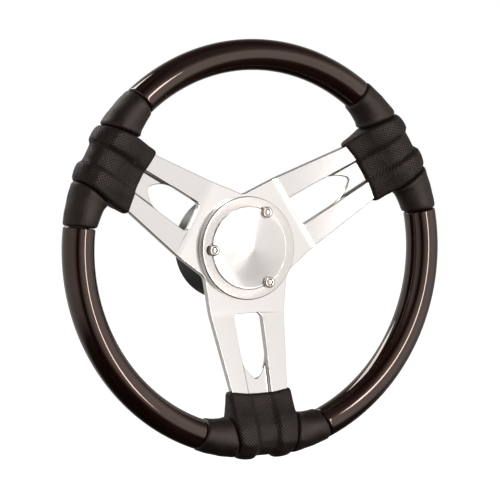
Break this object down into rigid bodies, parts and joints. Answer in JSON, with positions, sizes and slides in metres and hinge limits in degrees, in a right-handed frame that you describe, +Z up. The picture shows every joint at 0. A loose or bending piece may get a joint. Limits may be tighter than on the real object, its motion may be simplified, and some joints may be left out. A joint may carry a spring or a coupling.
{
  "type": "boat steering wheel",
  "caption": "Steering wheel of a boat with a wood and leather rim on a metal spider, its hub, shaft and dash-mounted bearing and bezel.",
  "frame": {"origin": "centre of the bearing housing's mounting face, where it meets the dash", "axes": "+Y out of the back of the dash along the shaft, -Y towards the driver, +X to the driver's right, +Z up"},
  "size_m": [0.35, 0.1307, 0.3502],
  "materials": {
    "cast_alloy": "cast, satin",
    "bronze": "machined",
    "black_satin": "black anodised, satin",
    "dark_steel": "black oxide",
    "stainless": "machined stainless",
    "polished_aluminium": "polished",
    "turned_aluminium": "fine turned",
    "spun_aluminium": "spun, radial sheen",
    "chrome": "polished",
    "mahogany": "high-gloss lacquer over dark mahogany",
    "foam_core": "moulded polyurethane",
    "perforated_leather": "perforated, soft sheen",
    "grained_leather": "fine grain, soft sheen"
  },
  "bodies": {
    "helm": {"bearing_housing": "cast_alloy", "bush_rear": "bronze", "bush_front": "bronze", "helm_bezel": "black_satin", "bezel_screws": "dark_steel"},
    "wheel": {"helm_shaft": "stainless", "shaft_thrust_washer": "stainless", "shaft_circlip": "dark_steel", "woodruff_key": "stainless", "hub_adapter": "cast_alloy", "shaft_washer": "stainless", "shaft_nut": "stainless", "adapter_screws": "stainless", "spoke_spider": "polished_aluminium", "hub_ring": "turned_aluminium", "centre_cap": "spun_aluminium", "cap_screws": "chrome", "rim_core_ring": "cast_alloy", "rim_rivets": "stainless", "wood_front_1": "mahogany", "wood_front_2": "mahogany", "wood_front_3": "mahogany", "wood_back_1": "mahogany", "wood_back_2": "mahogany", "wood_back_3": "mahogany", "grip_core_1": "foam_core", "grip_core_2": "foam_core", "grip_core_3": "foam_core", "grip_panel_1": "perforated_leather", "grip_panel_2": "perforated_leather", "grip_panel_3": "perforated_leather", "grip_sleeve_ccw_1": "grained_leather", "grip_sleeve_ccw_2": "grained_leather", "grip_sleeve_ccw_3": "grained_leather", "grip_sleeve_cw_1": "grained_leather", "grip_sleeve_cw_2": "grained_leather", "grip_sleeve_cw_3": "grained_leather"}
  },
  "joints": [
    {"name": "wheel_turn", "type": "hinge", "parent": "helm", "child": "wheel", "pos_m": [0, 0, 0], "axis": [0, -1, 0], "range_deg": [-630, 630]}
  ]
}
